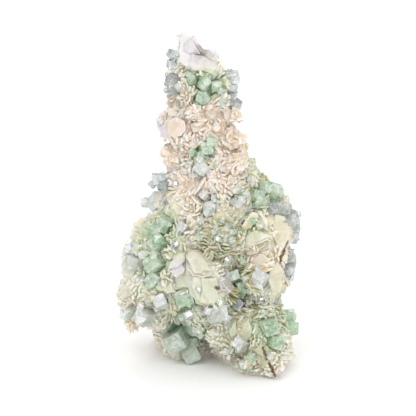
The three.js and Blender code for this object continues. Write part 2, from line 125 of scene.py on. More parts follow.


# %% [markdown]
# ## Stilbite
# Stilbite is milky and a little translucent. Its colour drifts over the specimen: pinkish cream on
# the spire, yellowish on the right sheaf, greenish where chlorite and apophyllite grow, olive with
# painted shade in the hollows beside the centre sheaf, and rust in a few cracks. Each tint is a
# soft-edged ball.

# %% Places where the minerals change colour
# centre x, y, z and radii in millimetres, then strength
GREEN_PLACES = [
    ((2, -14, 152), (13, 12, 8), 0.8),
    ((31, -8, 97), (13, 18, 15), 0.6),
    ((22, -18, 76), (9, 12, 9), 0.6),
    ((-26, -14, 66), (15, 16, 22), 0.75),
    ((-28, -18, 40), (12, 14, 14), 0.45),
    ((-12, -26, 26), (16, 14, 18), 0.6),
    ((30, -30, 22), (12, 14, 14), 0.7),
    ((-4, -16, 112), (8, 8, 6), 0.4),
    ((4, 26, 84), (24, 12, 22), 0.45),
    ((-6, 30, 34), (24, 14, 16), 0.45),
    ((43, -15, 28), (8, 16, 12), 1.0),
    ((6, 20, 128), (12, 12, 12), 0.5),
    ((-24, 20, 60), (12, 12, 16), 0.5),
    ((28, 22, 44), (12, 12, 14), 0.5),
    ((4, -26, 36), (34, 22, 22), 0.35),
    ((8, -20, 84), (16, 14, 10), 0.4),
]
# olive places: partly the mineral's olive colour and partly painted shade that darkens the hollows
# beside the centre sheaf
OLIVE_AND_HOLLOW_SHADE_PLACES = [
    ((17, -24, 44), (11, 16, 15), 1.0),
    ((12, -22, 62), (9, 10, 8), 0.65),
    ((6, -23, 71), (13, 14, 11), 0.75),
    ((42, -14, 31), (8, 16, 11), 0.4),
    ((22, -32, 12), (16, 14, 12), 0.3),
    ((-14, -30, 22), (6, 10, 5), 0.3),
]
YELLOW_PLACES = [((37, -14, 62), (12, 22, 26), 0.9), ((24, -34, 24), (12, 14, 16), 0.5)]
PINK_PLACES = [
    ((-2, -8, 116), (28, 28, 32), 0.9),
    ((6, -22, 82), (22, 14, 16), 0.7),
    ((24, -24, 60), (9, 10, 12), 0.7),
    ((20, -34, 22), (7, 12, 12), 0.7),
    ((-30, -14, 16), (9, 12, 6), 0.6),
]
# painted highlight: lavender-white where faces would catch the light
LAVENDER_HIGHLIGHT_PLACES = [
    ((-25, -10, 127), (3, 14, 9), 0.9),
    ((-6, -4, 168), (16, 16, 9), 0.65),
    ((-16, -34, 57), (6, 12, 5), 0.7),
    ((10, -30, 50), (4, 12, 8), 0.7),
    ((-24, -36, 35), (7, 12, 5), 0.6),
    ((-22, -26, 7), (8, 12, 6), 0.4),
]
# grey-brown patches near the top of the cap
GREY_BROWN_PLACES = [((-3.9, 0, 167), (4, 10, 3.4), 0.6), ((14, 6, 155), (4, 8, 3), 0.4)]
PALER_CRYSTALS = [((-18, -30, 12), (20, 24, 16), 1.0), ((0, -24, 146), (24, 22, 12), 0.3)]
RUST_CRACKS = [  # start and end of each stained crack
    ((41.4, -14, 68.5), (37.4, -15, 59.5)),
    ((32.6, -34, 24.0), (36.0, -34, 22.0)),
    ((28.6, -36, 16.5), (30.4, -36, 11.0)),
    ((32.0, -36, 9.0), (35.2, -36, 1.5)),
    ((3.8, -26, 48.4), (5.6, -26, 47.4)),
]
print("green and olive places:", len(GREEN_PLACES + OLIVE_AND_HOLLOW_SHADE_PLACES), "cracks:", len(RUST_CRACKS))

# %% How much a point is inside the places or on a crack
# a noise's scale is in waves to the metre, so a scale of 1000 has waves of 1 mm
EDGE_WAVES = 120.0  # 8 mm, the size of a rosette of blades
CRACK_WAVES = 500.0  # 2 mm, so that a crack runs unevenly
WAVER = 0.7  # how much noise shifts the edge of a place, as a share of its radius
CRACK_WIDTH = 1.1
CRACK_DEPTH = 0.05  # depth counts this little in the distance to a crack, which runs inwards
CRACK_SHAKE = (2 * MM, 0.0, 2 * MM)  # how far noise moves a crack sideways and up


def places(tree, point, rows, edge):
    """How much a point is inside any of the rows' balls, from 0 to 1, with a wavering edge."""
    wave = {"Vector": point, "Scale": EDGE_WAVES, "Detail": 3.0}
    wave = add(tree, "ShaderNodeTexNoise", wave)
    rim = 1 + WAVER / 2  # the radius and the noise's middle value
    most = 0.0
    for centre, radii, strength in rows:
        middle, size = [c * MM for c in centre], [r * MM for r in radii]
        off = add(tree, "ShaderNodeVectorMath", {0: point, 1: middle}, operation="SUBTRACT")
        ratio = add(tree, "ShaderNodeVectorMath", {0: off, 1: size}, operation="DIVIDE")
        far = add(tree, "ShaderNodeVectorMath", {0: ratio}, operation="LENGTH")
        shaken = add(tree, "ShaderNodeMath", {0: wave, 1: WAVER, 2: far}, operation="MULTIPLY_ADD")
        inside = add(
            tree,
            "ShaderNodeMapRange",
            {"Value": shaken, 1: rim + edge / 2, 2: rim - edge / 2, 4: strength},
            interpolation_type="SMOOTHSTEP",
        )
        most = add(tree, "ShaderNodeMath", {0: most, 1: inside}, operation="MAXIMUM")
    return most


def on_cracks(tree, point):
    """0.9 on the cracks' lines, as seen from the front, and 0 further away than their width."""
    noise = {"Vector": point, "Scale": CRACK_WAVES, "Detail": 3.0}
    noise = add(tree, "ShaderNodeTexNoise", noise)
    off = {0: noise.outputs["Color"], 1: (0.5, 0.5, 0.5)}
    shaken = {0: add(tree, "ShaderNodeVectorMath", off, operation="SUBTRACT"), 1: CRACK_SHAKE}
    shaken = add(tree, "ShaderNodeVectorMath", {**shaken, 2: point}, operation="MULTIPLY_ADD")
    squash = {0: shaken, 1: (1, CRACK_DEPTH, 1)}
    flat = add(tree, "ShaderNodeVectorMath", squash, operation="MULTIPLY")
    most = 0.0
    for ends in RUST_CRACKS:
        start, end = (Vector((x, y * CRACK_DEPTH, z)) * MM for x, y, z in ends)
        run = end - start
        away = add(tree, "ShaderNodeVectorMath", {0: flat, 1: start}, operation="SUBTRACT")
        along = {0: away, 1: run / run.length_squared}
        along = add(tree, "ShaderNodeVectorMath", along, operation="DOT_PRODUCT")
        share = add(tree, "ShaderNodeClamp", {0: along})
        foot = add(tree, "ShaderNodeVectorMath", {0: run, "Scale": share}, operation="SCALE")
        apart = add(tree, "ShaderNodeVectorMath", {0: away, 1: foot}, operation="DISTANCE")
        inside = add(
            tree,
            "ShaderNodeMapRange",
            {"Value": apart, 1: CRACK_WIDTH * MM, 2: CRACK_WIDTH * 0.4 * MM, 4: 0.9},
            interpolation_type="SMOOTHSTEP",
        )
        most = add(tree, "ShaderNodeMath", {0: most, 1: inside}, operation="MAXIMUM")
    return most


# %% [markdown]
# The stilbite's colour is laid in layers, one over the other: the tints of the places, then what
# tells one blade from the next, its root darkened by painted shade and its rim lightened by a
# painted highlight, then clouds, grey-brown patches and rust. The blades carry three values for
# it: "tint" is one number for each blade, "reach" runs from root to tip, and "edge" is 1 on the
# rim. Light wanders a little inside the mineral, which is subsurface.


# %% Stilbite material
CLOUDS = 210.0  # 5 mm, the milky clouds inside the blades
GRAIN = 900.0  # 1 mm; the real growth lines are far finer and wouldn't show


def stilbite_material(name, root_shade, milkiness, whole, mottled, relief):
    """root_shade is how much painted shade darkens the roots, where the crevices between blades are,
    milkiness is how far light wanders inside, in millimetres, mottled is the strength of the clouds
    and relief the height of the bumps in millimetres."""
    material, tree = new_material(name)
    point = add(tree, "ShaderNodeTexCoord").outputs["Object"]
    tint, reach, edge = (
        add(tree, "ShaderNodeAttribute", attribute_name=title).outputs["Fac"]
        for title in ("tint", "reach", "edge")
    )
    clouds = {"Vector": point, "Scale": CLOUDS, "Detail": 6.0, "Distortion": 1.2}
    clouds = add(tree, "ShaderNodeTexNoise", clouds)
    light, dark, root, cloudy, rim = (
        add(tree, "ShaderNodeMapRange", {"Value": value, 1: start, 2: full, 4: most})
        for value, start, full, most in (
            (tint, 0.6, 1.0, 0.7),
            (tint, 0.35, 0.0, 0.5),
            (reach, 0.9, 0.55, root_shade),
            (clouds, 0.4, 0.66, mottled),
            (edge, 0.5, 1.0, 0.6),
        )
    )
    colour = "#EEEBE0"
    for share, shade, way in (
        (places(tree, point, PINK_PLACES, 0.8), "#F4E5DB", "MIX"),
        (places(tree, point, YELLOW_PLACES, 0.6), "#F4EEDC", "MIX"),
        (places(tree, point, GREEN_PLACES, 0.9), "#CFDFBE", "MIX"),
        # olive colour with painted shade in the hollows
        (places(tree, point, OLIVE_AND_HOLLOW_SHADE_PLACES, 0.6), "#989C5E", "MIX"),
        # painted lavender-white highlight
        (places(tree, point, LAVENDER_HIGHLIGHT_PLACES, 0.5), "#E8E4F2", "MIX"),
        (light, "#FAF8F4", "MIX"),
        (dark, "#EEE5D0", "MIX"),
        # painted shade: the roots darken towards the crust, where the crevices between blades are
        (root, "#F1E6CE", "MULTIPLY"),
        (cloudy, "#F2ECE0", "MULTIPLY"),
        # painted highlight: the rim of each blade is lightened
        (rim, "#FCFBF7", "MIX"),
        (1.0, whole, "MULTIPLY"),
        # grey-brown patches near the top of the cap
        (places(tree, point, GREY_BROWN_PLACES, 0.9), "#8C7A6E", "MIX"),
        (on_cracks(tree, point), "#6B4426", "MIX"),
    ):
        layer = {0: share, 6: colour, 7: shade}
        colour = add(tree, "ShaderNodeMix", layer, data_type="RGBA", blend_type=way)
    grain = add(tree, "ShaderNodeTexNoise", {"Vector": point, "Scale": GRAIN, "Detail": 4.0})
    uneven = add(tree, "ShaderNodeMath", {0: grain, 1: clouds}, operation="ADD")
    bump = {"Strength": 0.3, "Distance": relief * MM, "Height": uneven}
    surface = {
        "Base Color": colour,
        "Roughness": 0.26,
        "IOR": 1.5,
        "Subsurface Weight": 0.7,
        "Subsurface Radius": (1.0, 0.9, 0.75),
        "Subsurface Scale": milkiness * MM,
        "Normal": add(tree, "ShaderNodeBump", bump),
    }
    shader = add(tree, "ShaderNodeBsdfPrincipled", surface)
    add(tree, "ShaderNodeOutputMaterial", {"Surface": shader})
    return material


stilbite = stilbite_material("stilbite_small_blades", 0.7, 0.4, "#FFFFFF", 0.55, 0.2)
stilbite_large = stilbite_material("stilbite_large_blades", 0.3, 2.0, "#F2F3F1", 1.0, 0.8)
crust = stilbite_material("stilbite_crust", 0.15, 1.0, "#FFFFFF", 0.55, 0.2)
print("materials:", stilbite.name, stilbite_large.name, crust.name)

# %% [markdown]
# ## Apophyllite
# Apophyllite is clear, but a real crystal is full of inner faces and faint clouds that throw light
# back. Pure glass would turn dark in its pocket, so part of each patch is see-through, with the
# mineral's refractive index and an absorption for each metre that light crosses, and the rest is
# milky. The patches are angular, as inner faces are. The prisms' fine striation is a bump.


# %% Apophyllite materials
STRIATION = 1300.0  # 0.8 mm apart; the real lines are far finer and wouldn't show
DRAWN_OUT = (1.0, 1.0, 0.12)  # the lines are eight times as long as they are apart
VEILS = 900.0  # 1 mm, the faint clouds
INNER_FACES = (170.0, 420.0)  # 6 and 2.4 mm, in crystals of 5 to 9 mm
MILKY = 0.35  # how much less see-through a patch can be


def apophyllite_material(name, deep, light, absorbed, density, roughness, see_through):
    """deep and light colour the patches; absorbed and density tint the light that crosses."""
    material, tree = new_material(name)
    point = add(tree, "ShaderNodeTexCoord").outputs["Object"]
    drawn_out = add(tree, "ShaderNodeMapping", {"Vector": point, "Scale": DRAWN_OUT})
    lines = {"Vector": drawn_out, "Scale": STRIATION, "Detail": 2.0}
    lines = add(tree, "ShaderNodeTexNoise", lines)
    bump = add(tree, "ShaderNodeBump", {"Strength": 0.2, "Distance": 0.15 * MM, "Height": lines})
    clouds = add(tree, "ShaderNodeTexNoise", {"Vector": point, "Scale": VEILS, "Detail": 4.0})
    veil = add(tree, "ShaderNodeMapRange", {"Value": clouds, 1: 0.35, 2: 0.7, 3: -0.2, 4: 0.3})
    for patches in INNER_FACES:
        cells = add(tree, "ShaderNodeTexVoronoi", {"Vector": point, "Scale": patches})
        patch = add(tree, "ShaderNodeSeparateColor", {"Color": cells.outputs["Color"]})
        veil = add(tree, "ShaderNodeMath", {0: patch, 1: 0.5, 2: veil}, operation="MULTIPLY_ADD")
    clear = {"Value": veil, 3: see_through, 4: see_through - MILKY}
    colour = add(tree, "ShaderNodeMix", {0: veil, 6: deep, 7: light}, data_type="RGBA")
    paler = {0: places(tree, point, PALER_CRYSTALS, 0.5), 6: colour, 7: "#EDF9EB"}
    surface = {
        "Base Color": add(tree, "ShaderNodeMix", paler, data_type="RGBA"),
        "Roughness": roughness,
        "IOR": 1.535,
        "Transmission Weight": add(tree, "ShaderNodeMapRange", clear),
        "Subsurface Weight": 0.3,
        "Subsurface Radius": (0.8, 1.0, 0.8),
        "Subsurface Scale": 1.0 * MM,
        "Normal": bump,
    }
    shader = add(tree, "ShaderNodeBsdfPrincipled", surface)
    volume = add(tree, "ShaderNodeVolumeAbsorption", {"Color": absorbed, "Density": density})
    add(tree, "ShaderNodeOutputMaterial", {"Surface": shader, "Volume": volume})
    return material


GLASS = {
    row[0]: apophyllite_material(*row)
    for row in (
        ("apophyllite_clear", "#EEF6F4", "#FFFFFF", "#A3B8B8", 80.0, 0.02, 0.84),
        ("apophyllite_pale", "#EDF4E9", "#FFFFFF", "#CDE4CF", 6.0, 0.03, 0.56),
        ("apophyllite_green", "#C4EBC0", "#F8FFF2", "#8FCB98", 9.0, 0.03, 0.64),
        # painted highlight: a lighter, milkier glass for the bevelled edges
        ("apophyllite_edge", "#F2FBF1", "#FFFFFF", "#D9E6E2", 8.0, 0.2, 0.5),
    )
}
print("materials:", list(GLASS))

# %% [markdown]
# ## The apophyllite crystals
# The crystals are the CAD nodes themselves. Their edges get a small bevel in a lighter, milkier
# glass, which is a painted highlight for the line of light that real edges catch, and each node gets
# the glass of its slot in the record.

# %% Bevel and tint the crystals
crystals = [o for name, o in nodes.items() if name.startswith("apophyllite_")]
for crystal in crystals:
    bevel = crystal.modifiers.new("edges", "BEVEL")
    bevel.width = 0.3 * MM
    bevel.segments = 1
    # the bevel's material is the painted edge highlight
    bevel.material = 1  # the second material, which is the edge's
    bevel.harden_normals = True
    bevel.limit_method = "ANGLE"
    bevel.angle_limit = math.radians(35)
    crystal.data.materials.clear()
    crystal.data.materials.append(GLASS[SLOTS[crystal.name]])
    crystal.data.materials.append(GLASS["apophyllite_edge"])
print("crystals:", len(crystals))

# %% [markdown]
# ## Geometry trees
# A geometry tree is built in the script with named inputs, run on a ground mesh, and its result is
# kept as a plain mesh, so that no modifier is left in the finished scene.


# %% Tree helpers
def new_tree(name, inputs):
    """A geometry tree with named inputs, and the sockets that hand them on inside it."""
    tree = bpy.data.node_groups.new(name, "GeometryNodeTree")
    for title, kind in {"Geometry": "Geometry", **inputs}.items():
        tree.interface.new_socket(title, in_out="INPUT", socket_type="NodeSocket" + kind)
    tree.interface.new_socket("Geometry", in_out="OUTPUT", socket_type="NodeSocketGeometry")
    return tree, add(tree, "NodeGroupInput").outputs


def end_tree(tree, given, geometry):
    """Instances become real faces, because the export drops them, and get their material."""
    real = add(tree, "GeometryNodeRealizeInstances", {0: geometry})
    painted = {"Geometry": real, "Material": given["Material"]}
    add(tree, "NodeGroupOutput", {0: add(tree, "GeometryNodeSetMaterial", painted)})
    print(tree.name, "nodes:", len(tree.nodes))
    return tree


def grown(name, ground, tree, values):
    """The mesh that a tree makes on a ground mesh, as a plain object with no modifier."""
    carrier = in_scene(name + "_carrier", ground)
    modifier = carrier.modifiers.new("grow", "NODES")
    modifier.node_group = tree
    for item in tree.interface.items_tree:
        if item.in_out == "INPUT" and item.name in values:
            modifier[item.identifier] = values[item.name]
    bpy.context.view_layer.update()
    evaluated = carrier.evaluated_get(bpy.context.evaluated_depsgraph_get())
    mesh = bpy.data.meshes.new_from_object(evaluated)
    mesh.name = name
    bpy.data.objects.remove(carrier)
    mesh.calc_loop_triangles()
    print(name, "triangles:", len(mesh.loop_triangles))
    return in_scene(name, mesh)


# %% [markdown]
# ## The crust under the blades
# The crust is the CAD's stilbite solid, filled with a volume and skinned again a little inside its
# own surface. That rounds its edges, and the blades grown on it end up at the solid's outline.

# %% Skin the crust again
BURIED = 0.6  # how far the new skin lies inside the solid, in millimetres
BAND = 3.0  # how deep the volume's density grows, from 0 at the surface to 1
VOXEL = 0.85
LUMPS = 1.6  # how high and deep the lumps are together
FLAT_FOOT = 1.3  # what lies below this height is pressed flat on the floor
# below BARE_FROM the crust under the blades gets the roots' painted shade
BARE_FROM, BARE_TO = 150 * MM, 160 * MM  # from here up the crust is bare, and as light as a tip
CRUST_WAVES = 260.0  # lumps of 4 mm, half the size of a rosette


def crust_tree():
    sizes = ("Voxel", "Band", "Depth", "Lumps")
    inputs = {**dict.fromkeys(sizes, "Float"), "Material": "Material"}
    tree, given = new_tree("skin_crust", inputs)
    filled = add(
        tree,
        "GeometryNodeMeshToVolume",
        {
            "Mesh": given["Geometry"],
            "Density": 1.0,
            "Voxel Size": given["Voxel"],
            "Interior Band Width": given["Band"],
        },
        resolution_mode="VOXEL_SIZE",
    )
    skin = add(
        tree,
        "GeometryNodeVolumeToMesh",
        {"Volume": filled, "Voxel Size": given["Voxel"], "Threshold": given["Depth"]},
        resolution_mode="VOXEL_SIZE",
    )
    where = add(tree, "GeometryNodeInputPosition")
    normal = add(tree, "GeometryNodeInputNormal")
    wave = {"Vector": where, "Scale": CRUST_WAVES, "Detail": 3.0}
    wave = add(tree, "ShaderNodeTexNoise", wave)
    swell = add(tree, "ShaderNodeMath", {0: wave, 1: 0.5}, operation="SUBTRACT")
    swell = add(tree, "ShaderNodeMath", {0: swell, 1: given["Lumps"]}, operation="MULTIPLY")
    offset = add(tree, "ShaderNodeVectorMath", {0: normal, "Scale": swell}, operation="SCALE")
    lumped = add(tree, "GeometryNodeSetPosition", {0: skin, "Offset": offset})
    height = add(tree, "ShaderNodeSeparateXYZ", {0: where}).outputs["Z"]
    low = {"A": height, "B": FLAT_FOOT * MM}
    low = add(tree, "FunctionNodeCompare", low, operation="LESS_THAN")
    flat = add(tree, "ShaderNodeVectorMath", {0: where, 1: (1.0, 1.0, 0.0)}, operation="MULTIPLY")
    made = add(tree, "GeometryNodeSetPosition", {0: lumped, "Selection": low, "Position": flat})
    # painted shade: under the blades the crust takes a root's reach, so the material darkens it
    bare = {"Value": height, 1: BARE_FROM, 2: BARE_TO, 3: 0.25, 4: 1.0}
    bare = add(tree, "ShaderNodeMapRange", bare)
    for title, value in (("reach", bare), ("tint", 0.5)):
        stored = {"Geometry": made, "Name": title, "Value": value}
        made = add(tree, "GeometryNodeStoreNamedAttribute", stored)
    return end_tree(tree, given, made)


cad_mass = nodes["stilbite_mass"].data
stilbite_crust = grown(
    "stilbite_crust",
    cad_mass,
    crust_tree(),
    {
        "Voxel": VOXEL * MM,
        "Band": BAND * MM,
        "Depth": BURIED / BAND,
        "Lumps": LUMPS * MM,
        "Material": crust,
    },
)

# %% [markdown]
# ## One blade
# A stilbite blade is a flat plate with nearly parallel sides and a pointed, slanted or blunt end,
# and with a narrow slanted rim all round. Each vertex stores how far it is from root to tip, as
# "reach", so that the material can paint shade on the roots, and the rim is marked as "edge",
# where the material paints a highlight.

# %% Blade outlines and blade geometry
OUTLINES = {  # how wide the root is, then the other corners, with a width and a length of 1
    "blunt": (0.94, (0.5, 0.78), (0.38, 0.94), (0.16, 1.0), (-0.3, 0.97), (-0.5, 0.8)),
    "roofed": (0.92, (0.5, 0.76), (0.12, 1.0), (-0.08, 0.99), (-0.5, 0.72)),
    "slanted": (0.96, (0.5, 0.68), (0.36, 0.8), (-0.28, 1.0), (-0.5, 0.88)),
    "square": (0.92, (0.5, 0.88), (0.38, 0.98), (-0.34, 1.0), (-0.5, 0.9)),
}
RIM = 0.1  # the slanted rim's width, as a share of the blade's width


def blade_points(outline):
    """Corners of a plate along +Z, its width along X: a front face, the rim's edge, a back face."""
    centre = np.mean(outline, axis=0)
    rows = []
    for y, inset in ((-0.5, RIM), (0.0, 0.0), (0.5, RIM)):
        for x, z in outline:
            along = z + (centre[1] - z) * inset if z else 0.0
            rows.append((x + (centre[0] - x) * inset * 2, y, along))
    return rows


def blade_faces(corners):
    """The faces of a plate whose three rings have so many corners each."""
    front, edge, back = (range(ring * corners, (ring + 1) * corners) for ring in range(3))
    faces = [tuple(front), tuple(reversed(back))]
    for ring, other in ((front, edge), (edge, back)):
        for i in range(corners):
            j = (i + 1) % corners
            faces.append((ring[j], ring[i], other[i], other[j]))
    return faces


def edge_values(corners):
    """1 on the rim's edge, the middle ring of a plate, and 0 on its two faces."""
    return [0.0] * corners + [1.0] * corners + [0.0] * corners


def mesh_of(name, points, faces, material, values):
    """A mesh with a material, and with a number for each point for each title in values."""
    mesh = bpy.data.meshes.new(name)
    mesh.from_pydata([Vector(p) for p in points], [], faces)
    for title, numbers in values.items():
        mesh.attributes.new(title, "FLOAT", "POINT").data.foreach_set("value", numbers)
    mesh.materials.append(material)
    return mesh


# %% Blade variants for the crust
variants = bpy.data.collections.new("blade_variants")
for title, (root, *rest) in OUTLINES.items():
    outline = [(-root / 2, 0), (root / 2, 0), *rest]
    points, corners = blade_points(outline), len(outline)
    values = {"reach": [p[2] for p in points], "edge": edge_values(corners)}
    mesh = mesh_of("blade_" + title, points, blade_faces(corners), stilbite, values)
    variants.objects.link(bpy.data.objects.new("blade_" + title, mesh))

# %% [markdown]
# ## The large blades
# The broad faces that show in the photo are written as the outline that is seen from the front, in
# millimetres across and up, with the way the face looks and how far it stands out of the crust. A
# large stilbite blade is a book of thin plates, so each outline becomes a few plates, one behind
# the other, that end unevenly.

# %% Outlines of the large blades
# azimuth and rise of the face, how far it stands out, thickness, plates, rim, then the corners
LARGE_BLADES = (
    # cap front
    ((0, 40), 1.5, 6, 2, 0.22, [
        (-14.0, 165.9), (-9.4, 169.5), (-5.2, 168.5), (-1.0, 166.9), (3.6, 164.3), (5.7, 160.7),
        (3.1, 157.6), (-1.0, 159.1), (-4.7, 159.6), (-8.3, 160.2), (-10.9, 162.8)
    ]),
    # cap back
    ((-25, 30), 0.5, 5, 2, 0.15, [
        (-13.5, 179.4), (-10.9, 179.4), (-6.8, 174.7), (-2.6, 169.0), (-8.3, 166.4), (-13.0, 168.0),
        (-16.6, 172.1), (-14.6, 176.3)
    ]),
    # cap grey lobe
    ((35, 35), 0.5, 4, 2, 0.2, [
        (-2.6, 171.1), (0.5, 171.1), (2.6, 168.5), (3.6, 164.8), (0.0, 165.9), (-2.6, 168.0)
    ]),
    # pink lobe
    ((-15, 12), 1.5, 5, 2, 0.3, [
        (-20.8, 134.7), (-16.6, 136.2), (-12.5, 134.2), (-11.4, 129.5), (-14.0, 125.8),
        (-17.7, 124.3), (-20.3, 126.4), (-21.8, 130.5)
    ]),
    # lavender fin
    ((-48, 4), 1.0, 5, 2, 0.12, [
        (-25.5, 128.4), (-22.4, 132.6), (-19.8, 136.2), (-18.7, 132.1), (-19.2, 127.4),
        (-19.8, 123.2), (-23.4, 124.8)
    ]),
    # spire upper left lobe
    ((-15, 30), 1.0, 4, 2, 0.25, [
        (-21.8, 139.4), (-17.2, 141.4), (-10.9, 140.4), (-8.8, 136.8), (-14.6, 135.2),
        (-20.3, 135.7)
    ]),
    # spire pale
    ((10, 12), 1.0, 4, 3, 0.15, [
        (-1.0, 143.5), (3.1, 144.6), (5.7, 140.9), (5.2, 135.2), (1.6, 133.6), (-1.6, 137.8)
    ]),
    # spire right upper
    ((30, 30), 1.0, 4, 3, 0.1, [
        (6.2, 139.9), (9.9, 142.0), (14.0, 137.8), (13.5, 134.7), (8.8, 134.2)
    ]),
    # spire right middle
    ((30, 30), 0.8, 4, 3, 0.12, [
        (4.7, 132.1), (10.4, 133.6), (15.1, 131.0), (14.6, 127.4), (8.3, 127.4)
    ]),
    # spire right lower
    ((30, 20), 0.8, 3.5, 3, 0.12, [
        (6.2, 125.8), (12.5, 125.8), (16.1, 120.1), (12.0, 119.1), (7.3, 122.7)
    ]),
    # spire middle
    ((0, 30), 0.6, 3, 2, 0.2, [
        (-9.4, 132.6), (-4.7, 134.2), (-3.1, 129.5), (-7.3, 127.9)
    ]),
    # shoulder shelf
    ((-30, 30), 0.8, 4, 3, 0.1, [
        (-27.6, 97.8), (-23.4, 98.3), (-20.8, 93.6), (-22.4, 90.5), (-27.0, 93.6)
    ]),
    # right ledge
    ((40, 25), 0.8, 4, 3, 0.12, [
        (19.2, 112.8), (24.4, 112.3), (28.1, 107.1), (27.0, 103.5), (21.8, 105.6)
    ]),
    # centre upper
    ((10, 48), 2.0, 5, 4, 0.06, [
        (-12.5, 65.0), (-6.8, 68.1), (-1.0, 66.6), (2.6, 60.8), (3.1, 55.1), (-2.1, 53.0),
        (-7.8, 54.1), (-11.4, 57.7)
    ]),
    # centre lower
    ((4, 4), 3.0, 7, 4, 0.08, [
        (-9.4, 54.1), (-4.2, 55.6), (4.2, 54.1), (7.8, 47.3), (6.8, 41.6), (3.1, 37.4),
        (-2.1, 38.0), (-6.2, 39.5), (-9.9, 46.3)
    ]),
    # centre left
    ((-26, 8), 2.0, 6, 3, 0.08, [
        (-17.2, 58.8), (-10.9, 59.8), (-7.8, 54.1), (-8.8, 46.8), (-11.4, 44.7), (-16.6, 45.8),
        (-17.7, 51.5)
    ]),
    # centre glint
    ((-26, 48), 2.2, 4, 2, 0.06, [
        (-20.3, 57.2), (-13.0, 61.4), (-11.4, 58.2), (-17.2, 53.6)
    ]),
    # centre right
    ((42, 10), 1.5, 5, 3, 0.1, [
        (6.8, 56.7), (10.9, 56.7), (13.0, 50.4), (10.9, 42.6), (7.8, 42.6), (5.7, 49.4)
    ]),
    # centre tan
    ((-20, 36), 1.0, 5, 2, 0.22, [
        (-22.4, 62.9), (-18.7, 66.6), (-12.5, 67.1), (-12.0, 62.9), (-15.1, 58.8), (-21.3, 57.2)
    ]),
    # centre streaked
    ((-26, 20), 1.0, 4, 3, 0.1, [
        (-23.9, 47.8), (-19.2, 51.5), (-16.6, 49.9), (-17.2, 45.2), (-22.9, 44.7)
    ]),
    # right cream
    ((16, 14), 1.5, 7, 5, 0.08, [
        (30.7, 87.4), (35.4, 89.4), (41.6, 87.4), (45.2, 82.7), (45.8, 76.4), (42.6, 69.2),
        (38.5, 63.4), (34.3, 66.0), (32.2, 72.3), (29.1, 79.6)
    ]),
    # right thin
    ((-10, 30), 1.2, 3, 2, 0.1, [
        (23.4, 86.8), (26.5, 87.4), (30.7, 81.6), (30.7, 77.0), (27.0, 79.6)
    ]),
    # right fan one
    ((-22, 34), 1.0, 4, 3, 0.1, [
        (16.6, 72.3), (24.4, 78.0), (31.2, 78.5), (33.3, 74.4), (26.0, 71.2), (18.7, 68.6)
    ]),
    # right fan two
    ((-18, 20), 1.0, 4, 3, 0.1, [
        (17.2, 67.6), (25.0, 71.8), (32.2, 72.8), (33.3, 68.6), (26.5, 65.0), (19.8, 63.4)
    ]),
    # right fan three
    ((-20, 12), 1.0, 4, 3, 0.1, [
        (20.3, 60.8), (26.0, 65.5), (32.2, 67.6), (33.8, 62.9), (28.1, 58.8), (22.9, 56.2)
    ]),
    # right facet
    ((-8, 12), 1.8, 4, 2, 0.05, [
        (25.0, 56.2), (28.1, 60.3), (32.2, 58.8), (32.2, 52.0), (28.6, 47.3), (23.9, 51.0)
    ]),
    # right lower cream
    ((18, 8), 0.8, 4, 3, 0.12, [
        (32.2, 57.7), (36.9, 60.8), (40.0, 55.6), (38.0, 46.3), (33.3, 45.2), (31.2, 50.4)
    ]),
    # low pink
    ((-30, 8), 1.0, 5, 3, 0.12, [
        (16.6, 31.7), (21.8, 32.2), (23.4, 23.4), (21.3, 14.6), (17.2, 15.1), (15.6, 23.4)
    ]),
    # low cream
    ((-10, 14), 1.0, 4, 2, 0.2, [
        (12.0, 30.7), (16.1, 31.2), (15.6, 22.9), (12.5, 19.8), (10.4, 25.0)
    ]),
    # low corner
    ((-16, 20), 1.0, 4, 2, 0.12, [
        (13.0, 19.8), (18.7, 20.3), (21.8, 14.6), (17.7, 10.9), (13.0, 13.5)
    ]),
    # low pale
    ((10, 14), 1.0, 4, 3, 0.12, [
        (23.9, 15.1), (28.1, 18.7), (32.2, 14.6), (31.2, 8.8), (26.0, 7.8)
    ]),
    # cream knob
    ((-5, 20), 0.8, 4, 2, 0.28, [
        (-6.2, 26.5), (-1.6, 28.6), (1.6, 25.5), (1.0, 20.3), (-3.1, 18.7), (-6.2, 21.3)
    ]),
    # left slope pale
    ((-40, 20), 0.6, 3.5, 2, 0.18, [
        (-36.4, 79.6), (-31.2, 82.7), (-29.1, 76.4), (-32.2, 71.8), (-35.9, 73.3)
    ]),
    # left rim pale
    ((-40, 20), 0.6, 3.5, 2, 0.18, [
        (-44.7, 60.8), (-39.5, 64.0), (-36.9, 57.7), (-40.6, 52.0), (-44.7, 54.1)
    ]),
    # left low pale
    ((-36, 12), 0.6, 3.5, 2, 0.18, [
        (-45.8, 48.4), (-40.0, 50.4), (-36.9, 44.2), (-40.6, 38.0), (-45.8, 40.6)
    ]),
)
print("large blades that show in the photo:", len(LARGE_BLADES))

# %% Find what is seen from a side
EYE_AWAY = 0.3  # metres from the specimen's front to the point a sight line starts from
bm = bmesh.new()
bm.from_mesh(cad_mass)
cad_surface = BVHTree.FromBMesh(bm)
bm.free()


def eye_at(across, up, side):
    """A point far off the specimen that is seen at across and up from a side; 0 is the front."""
    start = Vector((across, FRONT_FOOT, up / math.cos(math.radians(VIEW_RISE)))) * MM
    start.rotate(Matrix.Rotation(math.radians(side), 3, "Z"))
    return start + heading(side, VIEW_RISE) * EYE_AWAY


def seen_from(side, across, up):
    """The point of the solid seen at across and up from a side, or None."""
    return cad_surface.ray_cast(eye_at(across, up, side), -heading(side, VIEW_RISE))[0]


print("seen at the middle of the photo:", [round(v, 4) for v in seen_from(0, 0, 90)])

# %% [markdown]
# Each plate is cut out of the sight lines through its outline, so that it looks from the front as
# it was written down. The ends are made a little ragged. The sides that the photo doesn't show get
# blades of the same kind, in twos and threes, at random places.

